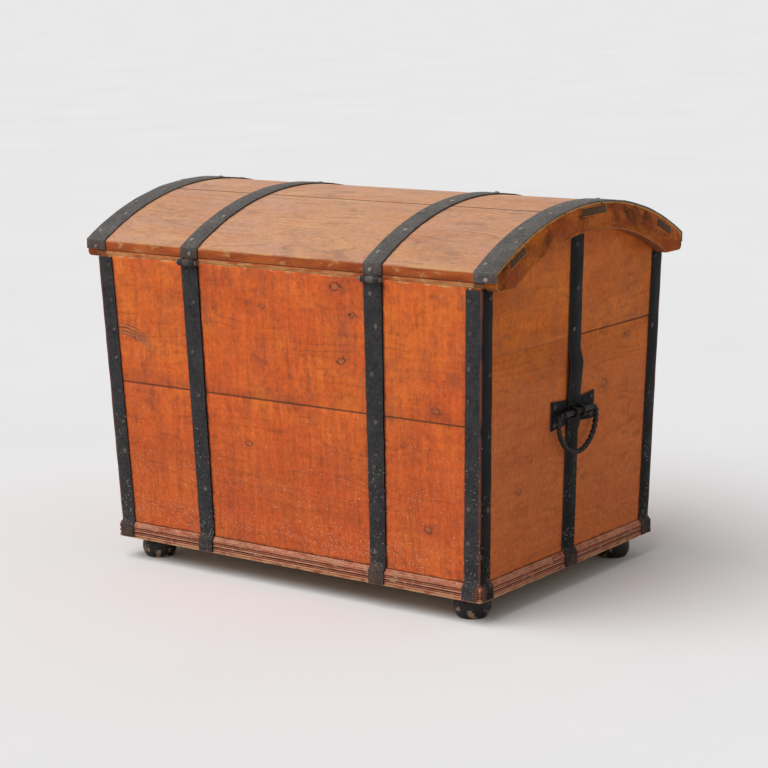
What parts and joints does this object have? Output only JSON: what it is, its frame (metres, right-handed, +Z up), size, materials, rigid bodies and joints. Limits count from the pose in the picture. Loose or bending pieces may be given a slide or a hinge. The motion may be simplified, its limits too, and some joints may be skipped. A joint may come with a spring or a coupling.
{
  "type": "folk art chest",
  "caption": "Domed pine storage chest with tapered painted boards, iron straps and corner irons, strap hinges, ring handles and turned feet.",
  "frame": {"origin": "on the floor, under the middle of the chest's outer box", "axes": "+X along the chest, +Y towards the hinge side (the back), +Z up"},
  "size_m": [0.959, 0.6464, 0.724],
  "materials": {
    "side_paint": "worn orange-red oil paint on pine",
    "end_paint": "worn orange-brown oil paint on pine",
    "lid_paint": "faded and scuffed paint on pine",
    "cleat_varnish": "dark ochre varnish on pine",
    "moulding_paint": "red-brown paint, worn on the reeds",
    "bare_pine": "bare aged pine",
    "foot_black": "black paint, chipped",
    "black_iron": "forged iron, blacked, worn at the edges",
    "lock_iron": "forged iron, oiled"
  },
  "bodies": {
    "carcass": {"back_board_lower": "side_paint", "back_board_upper": "side_paint", "back_strap_left": "black_iron", "back_strap_right": "black_iron", "base_moulding_back": "moulding_paint", "base_moulding_front": "moulding_paint", "base_moulding_left": "moulding_paint", "base_moulding_right": "moulding_paint", "bottom_board_back": "bare_pine", "bottom_board_front": "bare_pine", "bottom_board_middle": "bare_pine", "corner_iron_back_left": "black_iron", "corner_iron_back_right": "black_iron", "corner_iron_front_left": "black_iron", "corner_iron_front_right": "black_iron", "end_board_lower_left": "end_paint", "end_board_lower_right": "end_paint", "end_board_upper_left": "end_paint", "end_board_upper_right": "end_paint", "end_strap_left": "black_iron", "end_strap_right": "black_iron", "foot_back_left": "foot_black", "foot_back_right": "foot_black", "foot_front_left": "foot_black", "foot_front_right": "foot_black", "front_board_lower": "side_paint", "front_board_upper": "side_paint", "front_strap_left": "black_iron", "front_strap_right": "black_iron", "handle_plate_left": "black_iron", "handle_plate_right": "black_iron", "handle_staples_left": "black_iron", "handle_staples_right": "black_iron", "hinge_pin_left": "black_iron", "hinge_pin_right": "black_iron", "lock_case": "lock_iron"},
    "lid": {"lid_end_cleat_left": "cleat_varnish", "lid_end_cleat_right": "cleat_varnish", "lid_end_strap_left": "black_iron", "lid_end_strap_right": "black_iron", "lid_plank_back": "lid_paint", "lid_plank_front": "lid_paint", "lid_plank_middle": "lid_paint", "lid_strap_left": "black_iron", "lid_strap_right": "black_iron", "lock_staple": "lock_iron"},
    "handle_left": {"handle_ring_left": "black_iron"},
    "handle_right": {"handle_ring_right": "black_iron"},
    "lock_bolt": {"lock_bolt": "lock_iron"}
  },
  "joints": [
    {"name": "lid_hinge", "type": "hinge", "parent": "carcass", "child": "lid", "pos_m": [0, 0.31675, 0.605], "axis": [-1, 0, 0], "range_deg": [0, 110]},
    {"name": "handle_swing_left", "type": "hinge", "parent": "carcass", "child": "handle_left", "pos_m": [-0.44958, 0.00725, 0.339], "axis": [0, 1, 0], "range_deg": [0, 170]},
    {"name": "handle_swing_right", "type": "hinge", "parent": "carcass", "child": "handle_right", "pos_m": [0.44958, 0.00725, 0.339], "axis": [0, -1, 0], "range_deg": [0, 170]},
    {"name": "lock_throw", "type": "slide", "parent": "carcass", "child": "lock_bolt", "axis": [1, 0, 0], "range_m": [0, 0.016]}
  ]
}
